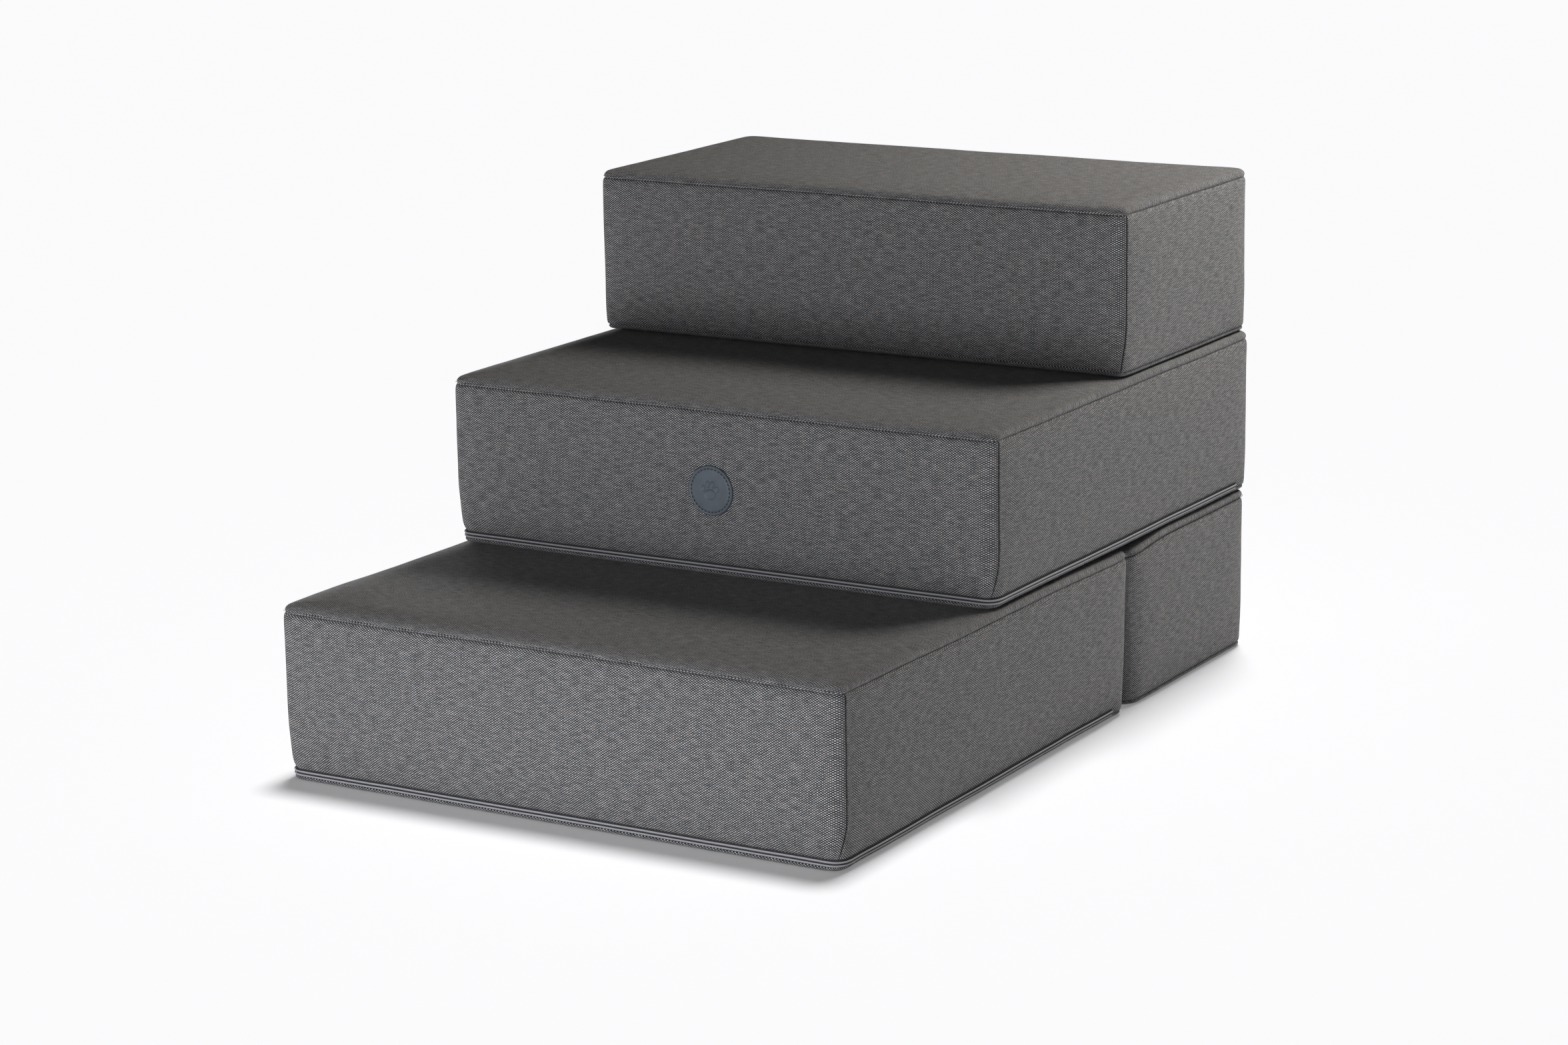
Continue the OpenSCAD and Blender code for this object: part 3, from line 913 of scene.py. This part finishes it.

# Hinge strips: cover cloth sewn along the edge where two blocks meet.
hinges = {
    "halfWide": 4.5 * mm,
    "thick": 0.7 * mm,
    "rows": 8,
    "columns": 60,
    "bend": 1.5 * mm,  # half the width of the strip that bends
    "sunk": 0.5 * mm,  # the front strip, below the treads
    "proud": 0.4 * mm,  # the rear strips, behind the covers
    "strips": [
        {"name": "front_hinge_tape", "a": "rear_base", "b": "front_step", "across": (0, -1, 0)},
        {"name": "middle_hinge_tape", "a": "rear_base", "b": "middle_step", "across": (0, 0, 1)},
        {"name": "top_hinge_tape", "a": "middle_step", "b": "top_step", "across": (0, 0, 1)},
    ],
}


def makeHingeStrip(strip, s):
    lo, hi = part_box(strip["name"])
    middle = (lo + hi) / 2
    across = Vector(strip["across"])
    out = Vector((0, 0, 1)) if across.y else Vector((0, 1, 0))
    bm = bmesh.new()
    bmesh.ops.create_grid(bm, x_segments=s["columns"], y_segments=s["rows"], size=1.0)
    uv = bm.loops.layers.uv.new("cloth")
    for face in bm.faces:
        for loop in face.loops:
            loop[uv].uv = (loop.vert.co.x * (hi.x - lo.x) / 2, loop.vert.co.y * s["halfWide"])
    for vert in bm.verts:
        place = middle + across * (vert.co.y * s["halfWide"])
        place.x = vert.co.x * (hi.x - lo.x) / 2
        vert.co = place + out * (-s["sunk"] if across.y else s["proud"])
    bmesh.ops.recalc_face_normals(bm, faces=bm.faces)
    piece = makePiece(strip["name"] + "_strip", bm, wovenPolyester, "flat")
    wall = piece.modifiers.new("tape thickness", "SOLIDIFY")
    wall.thickness = s["thick"]
    wall.offset = 0
    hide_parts(strip["name"])
    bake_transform(piece)


for strip in hinges["strips"]:
    makeHingeStrip(strip, hinges)
for settings in blocks.values():
    bpy.data.objects.remove(settings["shell"])
print("hinge strips sewn on")

for nodeName, node in nodes.items():
    if "zip_slider" in nodeName or "zip_pull" in nodeName:
        node.data.materials.clear()
        node.data.materials.append(gunmetalZinc)

stageSettings = {
    "floorSize": 80.0,
    "floor": "#f6f6f8",
    "glow": 0.22,  # a lit table: keeps the floor pale where the stairs shade it
    "sky": (0.054, 0.052, 0.048),
}

# Softboxes: some light only the stairs, and a broad overhead light only the floor.
lights = [
    {"name": "low front softbox", "place": (-0.1, -1.55, 0.17),
     "target": (0, -0.387, 0.14), "size": (1.0, 0.5), "power": 15.6, "colour": (0.95, 0.965, 1.0)},
    {"name": "rear right softbox", "place": (0.62, 0.72, 1.2),
     "target": (0.1, 0.15, 0.4), "size": (0.4, 0.4), "power": 14.5, "colour": (1.0, 0.965, 0.90)},
    {"name": "rear left softbox", "place": (-2.2, 2.4, 0.14),
     "target": (-0.1, 0.2, 0.2), "size": (2.4, 0.28), "power": 75.0, "colour": (1.0, 0.99, 0.98)},
]
overhead = {"tilt": (-14, -1.5), "softness": 14, "strength": 2.5}


def collect(name, things):
    group = bpy.data.collections.new(name)
    for thing in things:
        group.objects.link(thing)
    return group


def makeStage(s):
    bm = bmesh.new()
    bmesh.ops.create_grid(bm, x_segments=1, y_segments=1, size=s["floorSize"] / 2)
    material = newMaterial("paintedFloor", {
        "Base Color": linear(s["floor"]), "Roughness": 0.9, "Specular IOR Level": 0.0,
        "Emission Color": linear(s["floor"]), "Emission Strength": s["glow"]})[0]
    floor = makePiece("floor", bm, material, "flat")
    world = bpy.data.worlds.new("studio")
    world.use_nodes = True
    world.node_tree.nodes["Background"].inputs[0].default_value = (*s["sky"], 1)
    scene.world = world
    return floor


def addLight(data, matrix, receivers):
    light = bpy.data.objects.new(data.name, data)
    light.matrix_world = matrix
    light.visible_camera = False
    light.light_linking.receiver_collection = receivers
    scene.collection.objects.link(light)


def addSoftbox(s, receivers):
    data = bpy.data.lights.new(s["name"], "AREA")
    data.shape = "RECTANGLE"
    data.size, data.size_y = s["size"]
    data.energy = s["power"]
    data.color = s["colour"]
    aim = (Vector(s["target"]) - Vector(s["place"])).to_track_quat("-Z", "Y")
    addLight(data, Matrix.Translation(s["place"]) @ aim.to_matrix().to_4x4(), receivers)


stairsOnly = collect("lit stairs", [o for o in scene.objects if o.type in ("MESH", "CURVE")])
floorOnly = collect("lit floor", [makeStage(stageSettings)])
for softbox in lights:
    addSoftbox(softbox, stairsOnly)
sun = bpy.data.lights.new("overhead light", "SUN")
sun.energy = overhead["strength"]
sun.angle = math.radians(overhead["softness"])
addLight(sun, (Matrix.Rotation(math.radians(overhead["tilt"][0]), 4, "X")
               @ Matrix.Rotation(math.radians(overhead["tilt"][1]), 4, "Y")), floorOnly)
print("stage and lights made")
